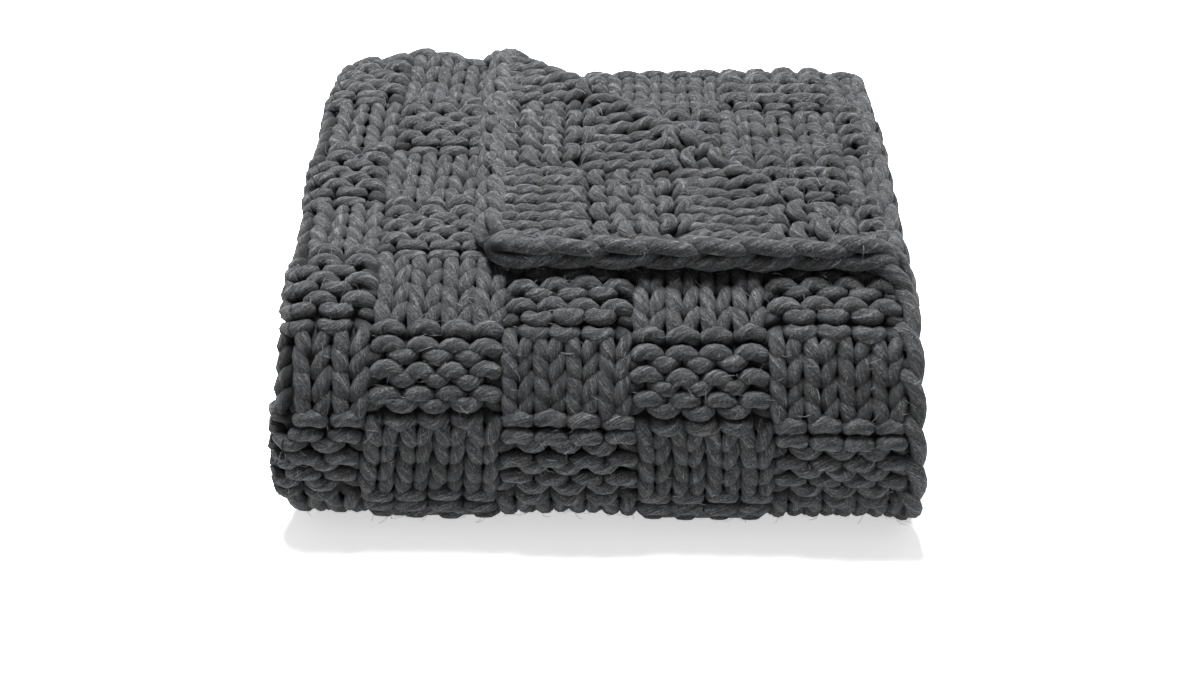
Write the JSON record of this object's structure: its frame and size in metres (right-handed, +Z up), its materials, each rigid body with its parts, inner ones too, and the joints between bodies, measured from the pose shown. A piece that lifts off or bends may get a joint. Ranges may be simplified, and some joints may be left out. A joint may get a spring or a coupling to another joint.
{
  "type": "folded knit throw blanket",
  "caption": "Chunky basketweave knit throw in charcoal heather yarn, folded into a thick stack of eight layers with its top back corner turned back on the diagonal.",
  "frame": {"origin": "centre of the bounding box's bottom face, on the surface that the folded throw rests on", "axes": "+X runs along the wide front fold to the right, +Y from the front to the back edges, +Z up"},
  "size_m": [0.6272, 0.5429, 0.2954],
  "materials": {
    "charcoal_yarn": "matte heathered wool-like yarn"
  },
  "bodies": {
    "root": {"throw": "charcoal_yarn"}
  },
  "joints": []
}
